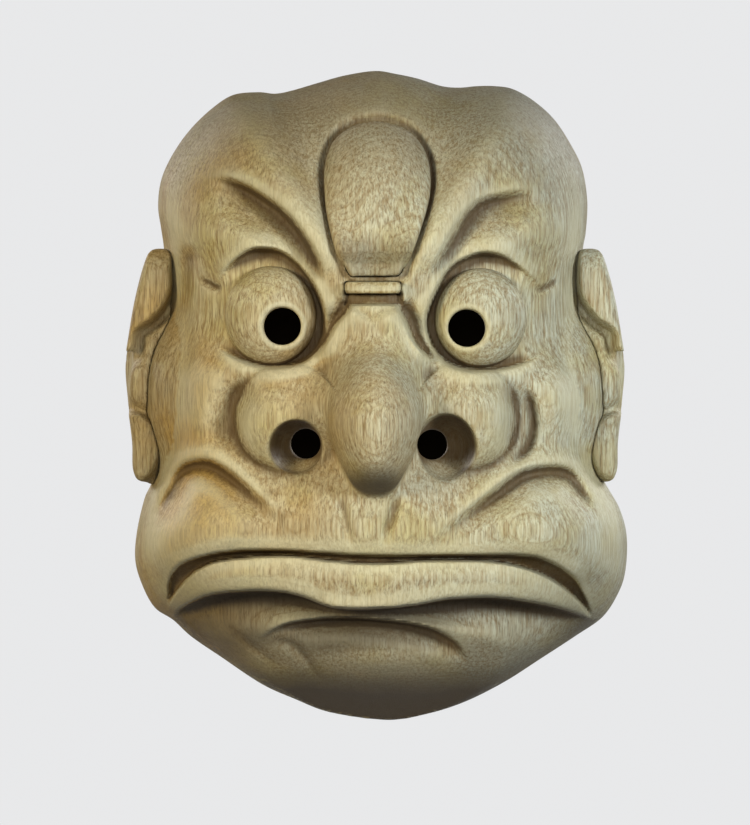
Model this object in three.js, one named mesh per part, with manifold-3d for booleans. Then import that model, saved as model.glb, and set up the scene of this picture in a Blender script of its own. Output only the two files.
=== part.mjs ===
// Carved wooden noh mask of the beshimi kind: a scowling demon with its mouth clamped shut.
// Millimetres. +X is the viewer's right, +Z is up to the crown, and the face looks along -Y.
// The rim of the back lies in the plane Y = 0, and the origin is in that plane at mid height.
// "Depth" is the distance in front of that plane, so a point of depth d has Y = -d.
import * as THREE from 'three';
import { mergeVertices } from 'three/addons/utils/BufferGeometryUtils.js';
import Module from 'manifold-3d';

const wasm = await Module();
wasm.setup();

// ---- driving dimensions ----
const HEIGHT = 213.5;
const JOWL_WIDTH = 165;
const DOME = { depth: 57, fullness: 2.55 };
const HOLLOW = { wall: 9, depth: 45, fullness: 2.6 };
const GAP = 0.3;

const EYE = { x: 33.8, z: 25.4, radius: 15.6, edge: 50, crown: 12 };
const PUPIL = { x: 29.9, z: 22, radius: 6.1 };
const NOSTRIL = { x: 20.5, z: -16, radius: 4.9 };
const NOSTRIL_SCOOP = { x: 24.4, z: -17, depth: 70, half: [9, 15, 10] };
const BOSS = { seat: 49, edge: 1.5, crown: 9 };
const BAND = { x: 9.2, z: 34.4, height: 3.6, seat: 57, proud: 3 };
const EAR = { root: 60, back: 5, front: 33, bevel: 2.4, top: 48, foot: -27.4 };
const CONCHA = { x: 80, z: 12, depth: 37, half: [9, 7, 21] };
const CORD_HOLE = { radius: 1.8, z: -7.8, depth: 14 };
const PAD = { thickness: 8, edge: 5, gap: 1 };
const MOUTH_CUT = { radius: 2.6, sink: -1 };
const CREASE_CUT = { radius: 2.4, sink: 0 };
const LIP_TUBE = { radius: 5.5, sink: 1 };

const HALF = HEIGHT / 2;
const JOWL = JOWL_WIDTH / 2;
// Right half of the front outline, from the middle of the crown to the middle of the chin.
const OUTLINE = [
  [0, HALF], [14, HALF - 2.4], [23, HALF - 5.2], [35, HALF - 5.6], [47, HALF - 7.5],
  [58, 91.5], [66, 80], [70.2, 65], [69.4, 49], [68.5, 25], [69, -5], [72, -25],
  [JOWL - 3.5, -36], [JOWL, -50], [JOWL - 2.2, -64], [73, -73.5], [56, -85.5], [34, -98],
  [16, -105],
];
// Right half of the teardrop on the forehead, from its top to its foot on the band.
const BOSS_OUTLINE = [
  [0, 89.3], [11.6, 85.4], [16.6, 77], [17.4, 67], [15.8, 56], [12.8, 46.5], [9.6, 38.6],
];
const BOSS_FOOT = 37;
// Outline of the right ear, from the top of its flat root round the lobe and back.
const EAR_OUTLINE = [
  [71.6, EAR.top], [75.2, 42.4], [78, 28.2], [81.8, 18], [82, 9.7], [80.6, -1.2], [80.4, -22],
  [76.6, EAR.foot],
];
// The line of the clamped mouth, from the left corner to the right one.
const MOUTH_LINE = [
  [-66, -61.5], [-56, -54], [-30, -51.4], [0, -52.4], [30, -52.2], [50, -53], [66, -62],
];
// The crease over the right jowl, from beside the nostril to the ear.
const JOWL_CREASE = [[37, -37], [45, -29], [54, -24.5], [64, -26]];

// Swellings (positive rise) and hollows (negative rise) on the dome of the face.
const MIDDLE_FORMS = [
  { x: 0, z: 97, half: [20, 13], rise: 4 }, // crown
  { x: 0, z: 60, half: [50, 34], rise: 4 }, // forehead
  { x: 0, z: 12, half: [15, 22], rise: 11 }, // root of the nose
  { x: 0, z: -39, half: [42, 20], rise: 13 }, // muzzle
  { x: 0, z: -64, half: [56, 8], rise: 8 }, // lower lip
  { x: 0, z: -88, half: [28, 9], rise: 6 }, // chin
];
const PAIRED_FORMS = [
  { x: 48, z: 84, half: [19, 24], rise: 8, tilt: 22 }, // frontal swelling
  { x: 19.5, z: 55, half: [7, 34], rise: 7, tilt: -33 }, // ridge from there down to the nose
  { x: 38, z: 63, half: [16, 5], rise: -3, tilt: 20 }, // hollow under the brow
  { x: 41, z: 49, half: [22, 7], rise: 5, tilt: 10 }, // upper lid
  { x: 34.5, z: 25, half: [20, 18], rise: -9 }, // eye socket
  { x: 38, z: 5, half: [24, 6], rise: 4 }, // lower lid
  { x: 60, z: -2, half: [14, 18], rise: 10 }, // cheek
  { x: 48, z: -13, half: [4, 14], rise: -4, tilt: 8 }, // fold beside the nostril
  { x: 54, z: -43, half: [18, 15], rise: 10 }, // pouch over the corner of the mouth
  { x: 74, z: -54, half: [14, 20], rise: 8 }, // jowl
];
const JAW = { top: -68, slope: 0.35 };

// Balls joined onto the dome: place, depth of the middle and half sizes in X, depth and Z.
const NOSE_BALL = { x: 0, z: -11, depth: 70, half: [15.5, 25, 23] };
const NOSTRIL_WING = { x: 28.5, z: -8, depth: 54, half: [17, 17.5, 18] };
const LIP_ROLL = [[-62, -68], [-50, -61], [-28, -58.5], [0, -60], [28, -59], [50, -61.5], [62, -68]];

// ---- outlines and surfaces ----
const FULL_TURN = 2 * Math.PI;

function turned(angle) {
  return ((angle % FULL_TURN) + FULL_TURN) % FULL_TURN;
}

// Closes a right half outline with its mirror image. The last point of `half` is on the right.
function bothSides(half, foot) {
  const left = half.slice(1).reverse().map(([x, z]) => [-x, z]);
  return [...half, [0, foot], ...left];
}

// Distance from `centre` to a smooth closed outline, for an angle from +Z towards +X.
function radiusOf(points, centre = [0, 0]) {
  const corners = points.map(([x, z]) => new THREE.Vector3(x - centre[0], 0, z - centre[1]));
  const curve = new THREE.CatmullRomCurve3(corners, true, 'centripetal');
  const marks = curve.getPoints(30 * points.length).slice(0, -1).map((p) => (
    { angle: turned(Math.atan2(p.x, p.z)), radius: Math.hypot(p.x, p.z) }
  ));
  marks.sort((a, b) => a.angle - b.angle);
  return (angle) => {
    const found = marks.findIndex((mark) => mark.angle > turned(angle));
    const after = marks[Math.max(found, 0)];
    const before = marks.at(Math.max(found, 0) - 1);
    const share = turned(angle - before.angle) / turned(after.angle - before.angle);
    return THREE.MathUtils.lerp(before.radius, after.radius, share);
  };
}

const rimRadius = radiusOf(bothSides(OUTLINE, -HALF));

function rimShare(x, z, inset = 0) {
  return Math.hypot(x, z) / (rimRadius(Math.atan2(x, z)) - inset);
}

function dome(share, { depth, fullness }) {
  return depth * (1 - Math.min(share, 1) ** fullness) ** (1 / fullness);
}

function swelling(x, z, { x: atX, z: atZ, half, rise, tilt = 0 }) {
  const angle = THREE.MathUtils.degToRad(tilt);
  const across = (x - atX) * Math.cos(angle) + (z - atZ) * Math.sin(angle);
  const along = (z - atZ) * Math.cos(angle) - (x - atX) * Math.sin(angle);
  return rise * Math.exp(-((across / half[0]) ** 2) - (along / half[1]) ** 2);
}

// Depth of the carved face. The forms fade out towards the rim, which stays in its plane.
function faceDepth(x, z) {
  const share = Math.min(rimShare(x, z), 1);
  let forms = 0;
  for (const form of MIDDLE_FORMS) forms += swelling(x, z, form);
  for (const form of PAIRED_FORMS) forms += swelling(Math.abs(x), z, form);
  const jaw = JAW.slope * Math.max(0, JAW.top - z);
  return dome(share, DOME) + (forms - jaw) * (1 - share ** 10);
}

// Depth of the hollow for the wearer's face, with a deeper place for the nose.
function hollowDepth(x, z) {
  const nose = swelling(x, z, { x: 0, z: -12, half: [13, 18], rise: 22 });
  return dome(rimShare(x, z, HOLLOW.wall), HOLLOW) + nose;
}

// A closed body between a front and a back surface inside one outline: a sphere whose poles
// become the middles of the two surfaces and whose parallels become ever smaller outlines.
// `grow` widens the body sideways, without a change of depth.
function leaf({ centre = [0, 0], radius, grow = 0, front, back, around, frontRows, backRows }) {
  const rows = frontRows + 1 + backRows;
  const ball = new THREE.SphereGeometry(1, around, rows);
  const corner = ball.attributes.position;
  for (let i = 0; i < corner.count; i += 1) {
    const row = Math.floor(i / (around + 1));
    const column = (i % (around + 1)) % around;
    const angle = -FULL_TURN * (column / around);
    const onFront = row <= frontRows;
    const step = onFront ? row / frontRows : (rows - row) / backRows;
    const share = 1.3 * step - 0.3 * step ** 4;
    const x = centre[0] + share * radius(angle) * Math.sin(angle);
    const z = centre[1] + share * radius(angle) * Math.cos(angle);
    const depth = (onFront ? front : back)(x, z, share);
    const wider = grow * share;
    corner.setXYZ(i, x + wider * Math.sin(angle), -depth, z + wider * Math.cos(angle));
  }
  return ball;
}

// ---- solids ----
function solid(geometry) {
  const bare = geometry.clone();
  bare.deleteAttribute('normal');
  bare.deleteAttribute('uv');
  const merged = mergeVertices(bare);
  const vertProperties = new Float32Array(merged.attributes.position.array);
  const triVerts = new Uint32Array(merged.index.array);
  return new wasm.Manifold(new wasm.Mesh({ numProp: 3, vertProperties, triVerts }));
}

// An upright outline given in X and Z, extruded from one depth to another.
function prism(shape, fromDepth, toDepth, options = {}) {
  const bevelled = { bevelEnabled: false, curveSegments: 12, ...options };
  const block = new THREE.ExtrudeGeometry(shape, { depth: toDepth - fromDepth, ...bevelled });
  block.translate(0, 0, fromDepth);
  return solid(block.rotateX(Math.PI / 2));
}

function ellipsoid({ x, z, depth, half: [halfX, halfDepth, halfZ] }) {
  const ball = new THREE.SphereGeometry(1, 22, 14).scale(halfX, halfDepth, halfZ);
  return solid(ball.translate(x, -depth, z));
}

// A drill hole along Y, from the hollow to well in front of the face.
function frontDrill(x, z, radius) {
  const drill = new THREE.CylinderGeometry(radius, radius, 2 * DOME.depth, 26);
  return solid(drill.translate(x, -DOME.depth, z));
}

// A round bar that follows the surface of the face along a line given in X and Z.
function surfaceBar(line, { radius, sink }) {
  const flat = new THREE.SplineCurve(line.map(([x, z]) => new THREE.Vector2(x, z)));
  const points = flat.getPoints(24).map((p) => (
    new THREE.Vector3(p.x, sink - faceDepth(p.x, p.y), p.y)
  ));
  const section = new THREE.Shape().absarc(0, 0, radius, 0, FULL_TURN);
  const path = new THREE.CatmullRomCurve3(points);
  return solid(new THREE.ExtrudeGeometry(section, { steps: 28, curveSegments: 5, extrudePath: path }));
}

function mirror(line) {
  return line.map(([x, z]) => [-x, z]);
}

// ---- materials ----
const wood = () => new THREE.MeshStandardMaterial({ color: 0xb5a582, roughness: 0.72, metalness: 0 });
const cloth = () => new THREE.MeshStandardMaterial({ color: 0xcfc6b2, roughness: 0.95, metalness: 0 });

const mask = new THREE.Group();

function addPiece(name, body, material) {
  const { vertProperties, triVerts } = body.getMesh();
  const geometry = new THREE.BufferGeometry();
  geometry.setAttribute('position', new THREE.BufferAttribute(new Float32Array(vertProperties), 3));
  geometry.setIndex(new THREE.BufferAttribute(new Uint32Array(triVerts), 1));
  geometry.computeVertexNormals();
  const mesh = new THREE.Mesh(geometry, material);
  mesh.name = name;
  mask.add(mesh);
}

// ---- the teardrop boss and the band under it ----
const bossRadius = radiusOf(bothSides(BOSS_OUTLINE, BOSS_FOOT), [0, BOSS_OUTLINE[3][1]]);

function bossBody(grow, front, back) {
  const centre = [0, BOSS_OUTLINE[3][1]];
  const rows = { around: 40, frontRows: 8, backRows: 2 };
  return solid(leaf({ centre, radius: bossRadius, grow, front, back, ...rows }));
}

function bossFront(x, z, share) {
  return faceDepth(x, z) + BOSS.edge + BOSS.crown * Math.sqrt(1 - Math.min(share, 1) ** 2.4);
}

function bandBody(grow, front) {
  const halfX = BAND.x + grow;
  const halfZ = BAND.height / 2 + grow;
  const shape = new THREE.Shape();
  shape.moveTo(-halfX, BAND.z - halfZ);
  shape.quadraticCurveTo(0, BAND.z - halfZ + 0.6, halfX, BAND.z - halfZ);
  shape.lineTo(halfX, BAND.z + halfZ);
  shape.quadraticCurveTo(0, BAND.z + halfZ + 0.6, -halfX, BAND.z + halfZ);
  return prism(shape, BAND.seat + GAP - grow, front);
}

// ---- the block that the face is carved from, before it is hollowed ----
function faceBlock(grow) {
  return solid(leaf({
    radius: rimRadius,
    grow,
    front: faceDepth,
    back: () => 0,
    around: 72,
    frontRows: 26,
    backRows: 1,
  }));
}

// ---- the ears ----
function earBlank() {
  const shape = new THREE.Shape();
  shape.moveTo(EAR.root, EAR.foot);
  shape.lineTo(EAR.root, EAR.top);
  shape.lineTo(...EAR_OUTLINE[0]);
  shape.splineThru(EAR_OUTLINE.slice(1).map(([x, z]) => new THREE.Vector2(x, z)));
  const bevel = EAR.bevel;
  const options = {
    bevelEnabled: true, bevelThickness: bevel, bevelSize: bevel, bevelOffset: -bevel, bevelSegments: 3,
  };
  return prism(shape, EAR.back + bevel, EAR.front - bevel, { ...options, curveSegments: 3 });
}

function cordDrill(side) {
  const drill = new THREE.CylinderGeometry(CORD_HOLE.radius, CORD_HOLE.radius, 60, 16);
  drill.rotateZ(Math.PI / 2);
  return solid(drill.translate(side * JOWL, -CORD_HOLE.depth, CORD_HOLE.z));
}

// The ear's root is shaped to the side of the face, with the usual gap for the glue.
function rightEar() {
  const root = faceBlock(GAP);
  return earBlank().subtract(root).subtract(ellipsoid(CONCHA)).subtract(cordDrill(1));
}

// ---- the eyes ----
function eyeball(side) {
  const centre = [side * EYE.x, EYE.z];
  const body = solid(leaf({
    centre,
    radius: () => EYE.radius,
    front: (x, z, share) => EYE.edge + EYE.crown * Math.sqrt(1 - Math.min(share, 1) ** 2),
    back: hollowDepth,
    around: 36,
    frontRows: 8,
    backRows: 2,
  }));
  return body.subtract(frontDrill(side * PUPIL.x, PUPIL.z, PUPIL.radius));
}

// ---- the main block ----
// The space scooped out for the wearer's face, open at the back.
function hollow() {
  return solid(leaf({
    radius: (angle) => rimRadius(angle) - HOLLOW.wall,
    front: hollowDepth,
    back: () => -HOLLOW.wall,
    around: 60,
    frontRows: 9,
    backRows: 1,
  }));
}

function faceShell() {
  let body = faceBlock(0);
  body = body.add(ellipsoid(NOSE_BALL));
  body = body.add(surfaceBar(LIP_ROLL, LIP_TUBE));
  for (const side of [-1, 1]) {
    body = body.add(ellipsoid({ ...NOSTRIL_WING, x: side * NOSTRIL_WING.x }));
  }
  body = body.subtract(hollow());
  for (const side of [-1, 1]) {
    body = body.subtract(frontDrill(side * EYE.x, EYE.z, EYE.radius + GAP));
    body = body.subtract(frontDrill(side * NOSTRIL.x, NOSTRIL.z, NOSTRIL.radius));
    body = body.subtract(ellipsoid({ ...NOSTRIL_SCOOP, x: side * NOSTRIL_SCOOP.x }));
    body = body.subtract(cordDrill(side));
  }
  body = body.subtract(surfaceBar(MOUTH_LINE, MOUTH_CUT));
  body = body.subtract(surfaceBar(JOWL_CREASE, CREASE_CUT));
  body = body.subtract(surfaceBar(mirror(JOWL_CREASE), CREASE_CUT));
  body = body.subtract(bossBody(GAP, () => 2 * DOME.depth, () => BOSS.seat));
  return body.subtract(bandBody(GAP, 2 * DOME.depth));
}

// ---- the wearer's pads, fixed to the wall of the hollow ----
function pad(x, z, halfX, halfZ) {
  const squareness = 3;
  const radius = (angle) => {
    const across = Math.abs(Math.sin(angle) / halfX) ** squareness;
    const along = Math.abs(Math.cos(angle) / halfZ) ** squareness;
    return (across + along) ** (-1 / squareness);
  };
  const crown = PAD.thickness - PAD.edge;
  return solid(leaf({
    centre: [x, z],
    radius,
    front: (atX, atZ) => hollowDepth(atX, atZ) - PAD.gap,
    back: (atX, atZ, share) => hollowDepth(atX, atZ) - PAD.edge - crown * (1 - share ** 2),
    around: 28,
    frontRows: 3,
    backRows: 4,
  }));
}

addPiece('face_shell', faceShell(), wood());
addPiece('forehead_boss', bossBody(0, bossFront, () => BOSS.seat + GAP), wood());
addPiece('bridge_band', bandBody(0, faceDepth(0, BAND.z) + BAND.proud), wood());
addPiece('left_eyeball', eyeball(-1), wood());
addPiece('right_eyeball', eyeball(1), wood());
addPiece('left_ear', rightEar().mirror([1, 0, 0]), wood());
addPiece('right_ear', rightEar(), wood());
addPiece('forehead_pad', pad(0, 66, 24, 8), cloth());
addPiece('left_cheek_pad', pad(-43, -20, 9, 14), cloth());
addPiece('right_cheek_pad', pad(43, -20, 9, 14), cloth());

export default mask;
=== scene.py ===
import math

import bpy
import numpy as np
import openvdb
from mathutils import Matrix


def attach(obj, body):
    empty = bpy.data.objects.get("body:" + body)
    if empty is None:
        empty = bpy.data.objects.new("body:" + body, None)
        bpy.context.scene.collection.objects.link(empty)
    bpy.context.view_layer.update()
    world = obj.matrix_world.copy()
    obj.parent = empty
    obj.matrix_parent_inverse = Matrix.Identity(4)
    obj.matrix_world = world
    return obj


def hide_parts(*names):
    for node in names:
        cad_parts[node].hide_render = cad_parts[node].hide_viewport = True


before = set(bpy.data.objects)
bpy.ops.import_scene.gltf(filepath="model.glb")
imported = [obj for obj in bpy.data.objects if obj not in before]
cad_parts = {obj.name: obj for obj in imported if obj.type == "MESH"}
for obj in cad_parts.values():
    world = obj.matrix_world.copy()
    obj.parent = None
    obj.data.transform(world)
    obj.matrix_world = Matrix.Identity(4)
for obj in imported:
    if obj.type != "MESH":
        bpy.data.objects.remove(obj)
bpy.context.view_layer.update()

# A carved noh mask. The carving is worked out in millimetres: x to the viewer's right, z up, and depth
# in front of the plane of the back rim, so y = -depth. Each piece is a field that is negative in the
# wood and positive in the air, and it is meshed where its field is zero.
MM = 0.001
PITCH = 0.7
# The most triangles in one piece.
MOST_FACES = 190_000
# The gap round a let-in piece, and how far its cap overlaps the edge of its seat.
GAP = 0.2
OVERLAP = 1.2

# ---- driving sizes of the mask ----
# Dome and hollow: depth at the middle, and the powers that round them off towards the rim.
DOME_DEPTH = 57.0
DOME_ROUND = (2.6, 2.5)
HOLLOW_WALL = 9.0
HOLLOW_DEPTH = 45.0
HOLLOW_ROUND = (2.6, 2.6)
MIDDLE = (0.0, -3.0)
# The least depth of wood between the hollow and the carved front.
WALL_LEAST = 7.0
# A deeper place in the hollow for the wearer's nose: x, z, half sizes and depth.
NOSE_POCKET = (0, -12, 13, 18, 22)
# Marks of the gouge: spacing across and along, and depth.
FRONT_GOUGE = (4.5, 9.0, 0.22)
HOLLOW_GOUGE = (9.0, 14.0, 1.1)

# ---- outlines and lines of the carving, seen from the front ----
OUTLINE = [
    (0, 107), (7, 106), (14, 104.5), (22, 102), (28, 101.5), (33.5, 102), (39.5, 102), (45.5, 101),
    (52.5, 97), (59.5, 90.5), (65.5, 81), (68.5, 74), (70, 64), (69.5, 54), (68.5, 47.5),
    (68, 31.5), (68.5, 16.5), (70.5, 0), (71.5, -14.5), (75, -27), (80.5, -37), (83, -46.5),
    (82.5, -58), (80, -65.5), (75, -73), (66.5, -79), (55, -86.5), (42.5, -94.5), (29.5, -101),
    (17, -105), (4, -107), (-14.5, -104.5), (-26.5, -100), (-37.5, -95), (-51, -86), (-60.5, -79.5),
    (-66.5, -74), (-72.5, -70), (-76.5, -63), (-79, -54.5), (-78.5, -45), (-76, -34), (-73.5, -28),
    (-71, -14.5), (-70, 0), (-69, 16.5), (-68.5, 31.5), (-69.5, 47.5), (-70.5, 55), (-71.5, 62.5),
    (-70.5, 71), (-67, 79), (-61.5, 87), (-54.5, 94), (-47, 99), (-38.5, 100), (-33, 99.5),
    (-27.5, 100.5), (-19, 103), (-10, 105.5),
]
BOSS = [
    (0.5, 89.5), (6.5, 88.5), (12, 85.5), (16.5, 78.5), (18, 71), (17.5, 63), (15, 54), (12, 45.5),
    (9, 38), (4.5, 37), (0, 37), (-5, 37), (-9, 37.5), (-12.5, 45.5), (-15.5, 57.5), (-16.5, 68),
    (-16, 76), (-13, 83.5), (-7.5, 88),
]
BOSS_MIDDLE = (0.5, 66)
# Each line below runs so that the raised side is on its left.
LEFT_BROW = [
    (-57, 68), (-50, 70), (-43, 68), (-35.5, 63.5), (-28.5, 58), (-23, 51), (-19, 44), (-16, 35),
]
RIGHT_BROW = [
    (17, 36.5), (20, 42.5), (24, 49.5), (29, 57.5), (34.5, 62.5), (44, 65), (49.5, 65), (57, 62),
]
LEFT_LID = [
    (-52, 35), (-48, 41), (-43, 45.5), (-37.5, 47.5), (-29.5, 46), (-22, 39), (-17.5, 31),
    (-16, 21.5),
]
RIGHT_LID = [
    (16.5, 21.5), (18, 30.5), (23, 39.5), (27.5, 43.5), (34.5, 46), (41, 45), (46.5, 41.5),
    (50.5, 38), (54, 33.5),
]
LEFT_SOCKET = [
    (-52, 35.5), *LEFT_LID[1:7], (-16, 23), (-18, 15.5), (-23.5, 10.5), (-31.5, 9), (-39.5, 10),
    (-46, 12.5), (-52, 16.5), (-56, 23.5), (-55, 30.5),
]
RIGHT_SOCKET = [
    (18.5, 31.5), *RIGHT_LID[2:7], (51, 38), (55.5, 32), (58, 25), (57, 16.5), (51, 11.5),
    (41, 8.5), (30.5, 8), (23, 10.5), (18, 16), (16, 23.5),
]
LEFT_LOWER_LID = [(-16.5, 17), (-22, 11), (-31.5, 8.5), (-40, 9.5), (-47, 12.5), (-53, 17)]
RIGHT_LOWER_LID = [(57, 16.5), (51, 11.5), (41, 8), (30.5, 7.5), (22.5, 10), (17, 16.5)]
LEFT_LID_CREASE = [(-58, 38), (-54, 36), (-49, 33.5)]
RIGHT_LID_CREASE = [(51, 33), (55.5, 35), (60, 38)]
LEFT_CREASE = [
    (-73.5, -44.5), (-71, -36), (-67.5, -29), (-63, -23.5), (-57, -21.5), (-50.5, -23),
    (-43.5, -28), (-35.5, -35.5), (-25.5, -44.5),
]
RIGHT_CREASE = [
    (15.5, -49.5), (24, -42.5), (31.5, -36.5), (40, -30), (47.5, -25), (56, -23.5), (63.5, -25),
    (69.5, -32), (73.5, -41.5),
]
LEFT_WING_FOLD = [(-40, 6), (-45.5, -1.5), (-48.5, -9.5), (-50, -18.5)]
RIGHT_WING_FOLD = [(42, 3.5), (44, -3), (44, -11.5), (43, -19.5)]
RIGHT_CHEEK_FOLD = [(47.5, 5), (50, -3), (50.5, -11.5), (48, -18.5), (41, -24.5)]
LEFT_NOSE_EDGE = [(-7, 30), (-10, 26), (-13, 22.5), (-16.5, 16), (-20, 11)]
RIGHT_NOSE_EDGE = [(20, 9.5), (16, 13), (12.5, 17.5), (10, 23.5), (6.5, 30)]
LEFT_PHILTRUM = [(-12, -31), (-10.5, -37), (-8.5, -44.5), (-6.5, -51)]
RIGHT_PHILTRUM = [(3.5, -51), (3.5, -44.5), (5.5, -38.5), (8, -30.5)]
UPPER_LIP = [
    (-67.5, -61), (-63.5, -55), (-54, -51.5), (-43, -50), (-29.5, -50), (0, -51.5), (26.5, -51.5),
    (46.5, -51.5), (55, -53), (63.5, -58), (67.5, -63.5),
]
LIP_TOP = [
    (-67.5, -68.5), (-62.5, -61.5), (-57, -56.5), (-48.5, -53.5), (-29.5, -52), (-15, -53.5),
    (0, -54.5), (18, -53.5), (38, -54), (49.5, -56.5), (58, -60.5), (66, -67), (70.5, -73),
]
LIP_FOOT = [
    (-67, -73), (-62.5, -69), (-54, -65), (-43, -63.5), (-32, -63.5), (-24, -65), (-16, -68),
    (-10, -69), (0, -69), (12.5, -68), (24, -66), (38, -65.5), (49.5, -67), (60.5, -69.5),
    (71, -73.5),
]
CHIN_ARC = [
    (-39.5, -80.5), (-31.5, -75.5), (-24, -73.5), (-11.5, -72.5), (0, -73), (12.5, -74.5),
    (21, -77), (27.5, -82), (31.5, -90),
]
OUTER_CHIN_FOLD = [(-50, -74.5), (-44.5, -78.5), (-37.5, -84), (-29.5, -90)]
INNER_CHIN_FOLD = [(-35.5, -79.5), (-28, -81), (-23, -85.5), (-19, -92), (-13.5, -98)]
LEFT_FLANK_GROOVE = [(-60, 50), (-61.5, 42), (-62.5, 35), (-66, 27), (-70, 22)]
RIGHT_FLANK_GROOVE = [(70, 27), (68, 33), (66.5, 40), (66, 47)]
# The ears stand over the flanks: the whole outline, the panel at the top and the lobe.
EAR_OUTLINE = [
    (60, 47.5), (68, 48), (73, 47.5), (75.5, 43), (78.5, 31.5), (80.5, 20), (82, 9.5),
    (81, -2.5), (79.5, -15), (79, -25), (75, -28.5), (60, -28.5),
]
EAR_PANEL = [
    (72, 56), (67.5, 48), (66.5, 40), (67, 34), (69.5, 29), (73.5, 24.5), (78, 21), (80, 14),
    (88, 12), (90, 40), (84, 56),
]
EAR_LOBE = [
    (90, -4), (78, -6), (73, -9), (71, -14), (70.5, -19), (72, -24), (75.5, -29), (80, -36),
    (90, -36),
]

# ---- soft swellings: place x, z, half sizes across and along, rise, tilt ----
FORMS = [
    (0, 60, 50, 34, 4, 0),  # forehead
    (-48.5, 84.5, 19, 24, 8, -22),  # frontal swellings
    (48.5, 84.5, 19, 24, 8, 22),
    (1, 97.5, 20, 13, 4, 0),  # crown
    (-19, 54.5, 7, 34, 7, 33),  # ridges from the frontal swellings down to the nose
    (19.5, 54.5, 7, 34, 7, -33),
    (-41, 50.5, 22, 8, 5, -10),  # upper lids
    (41, 50.5, 22, 8, 5, 10),
    (0, -39.5, 42, 20, 13, 0),  # muzzle
    (-54.5, -42.5, 18, 15, 10, 0),  # pouches over the corners of the mouth
    (55, -42.5, 18, 15, 10, 0),
    (-71.5, -54.5, 14, 20, 8, 0),  # jowls
    (75.5, -54.5, 14, 20, 8, 0),
    (-58.5, -2, 15, 19, 11, 8),  # cheeks
    (63.5, -2, 9, 15, 10, -4),
    (56, -1.5, 18, 18, 5, 0),
    (-37.5, 6, 24, 6, 4, 0),  # lower lids
    (38, 4.5, 24, 6, 4, 0),
    (0, 11.5, 15, 22, 11, 0),  # root of the nose
]
# The plane under the lower lip: its height and depth at the lip, and the chin that swells on it.
CHIN_TOP = (-68.0, 52.0)
CHIN = (4.5, -88.5, 26, 7.5)
CHIN_RISE = 7.0
OUTLINE_FOOT = -107.5
# The mouth: depth of the slit; set back, rise, tuck at the top and lean of the lower lip; depth and
# reach of the dip under it.
MOUTH_SLIT = 7.0
LIP_SET_BACK = 2
LIP_RISE = 9
LIP_TUCK = 2.5
LIP_PUSH = 0.4
LIP_SHADE = (10.0, 17.0)

# Wings of the nose: place, half sizes, floor, height, tightness of the join, side of the bridge.
WINGS = [
    (-28, -8, 17.5, 18.5, 52, 18, (3, 9, -8, 12), 1),
    (29, -7.5, 16.5, 19, 52, 18, (2, 8, -4, 14), -1),
]
# The tip of the nose narrows downwards. It is cut off flat through this height and depth, and the cut
# faces this way.
NOSE_BALL = (0, -11, 68)
NOSE_BALL_HALF = (15.5, 24, 26.5)
NOSE_PINCH = 0.45
NOSE_CUT = (-27.5, 84.0)
NOSE_CUT_FACES = (-0.93, 0.37)
# The cheeks bulge over the roots of the ears, and blend with the block within this reach.
CHEEK_BALL = (59.5, 0, 20)
CHEEK_BALL_HALF = (15.5, 26, 18)
CHEEK_REACH = (27, 38)

# Carved edges: line, rise of the left side and how far it fades, dip of the right side and how
# far that fades, width of the edge, and the share of the line over which each end dies away.
EDGES = [
    (LEFT_BROW, 2.5, 14, 6.5, 15, 1.6, (0.35, 0.2)),
    (RIGHT_BROW, 1.6, 14, 4.2, 15, 2.0, (0.2, 0.35)),
    (LEFT_NOSE_EDGE, 4, 12, 6, 7, 1.2, (0.15, 0.3)),
    (RIGHT_NOSE_EDGE, 4, 12, 6, 7, 1.2, (0.3, 0.15)),
    (LEFT_LOWER_LID, 2, 6, 0, 3, 0.8, (0.2, 0.2)),
    (RIGHT_LOWER_LID, 2, 6, 0, 3, 0.8, (0.2, 0.2)),
    (LEFT_LID, 2, 9, 0, 3, 0.8, (0.15, 0.15)),
    (RIGHT_LID, 2, 9, 0, 3, 0.8, (0.15, 0.15)),
    (LEFT_CREASE, 2.5, 10, 7, 10, 2.2, (0.2, 0.5)),
    (RIGHT_CREASE, 2.5, 10, 7, 10, 2.2, (0.5, 0.2)),
]
UPPER_LIP_EDGE = (UPPER_LIP, 4, 18, 0, 3, 0.8, (0.05, 0.05))
CHIN_EDGE = (CHIN_ARC, 3.5, 8, 7.5, 9, 1.0, (0.25, 0.25))
# Grooves: line, depth, half width and the ends as above.
GROOVES = [
    (LEFT_WING_FOLD, 3.5, 5, (0.3, 0.3)),
    (RIGHT_WING_FOLD, 2.8, 2.6, (0.3, 0.3)),
    (RIGHT_CHEEK_FOLD, 3.5, 2.0, (0.25, 0.3)),
    (LEFT_PHILTRUM, 1.6, 1.6, (0.3, 0.5)),
    (RIGHT_PHILTRUM, 2.4, 1.8, (0.5, 0.3)),
    (LEFT_LID_CREASE, 2.2, 1.1, (0.3, 0.3)),
    (RIGHT_LID_CREASE, 2.0, 1.1, (0.3, 0.3)),
    (LEFT_FLANK_GROOVE, 4, 3.5, (0.2, 0.2)),
    (RIGHT_FLANK_GROOVE, 3, 3, (0.3, 0.3)),
]
CHIN_GROOVES = [
    (OUTER_CHIN_FOLD, 1.5, 1.6, (0.3, 0.3)),
    (INNER_CHIN_FOLD, 2.0, 1.8, (0.3, 0.3)),
]

# Eyes: middles and half sizes of the domes, their height, and the bored pupils.
SOCKET_FLOOR = 49.0
EYES = [(-33.7, 25.7), (34, 25)]
EYE_HALF = (15.0, 16.2)
EYE_CROWN = 13.0
PUPILS = [(-30, 22.3), (29.7, 21.7)]
PUPIL_RADIUS = 6.1
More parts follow.
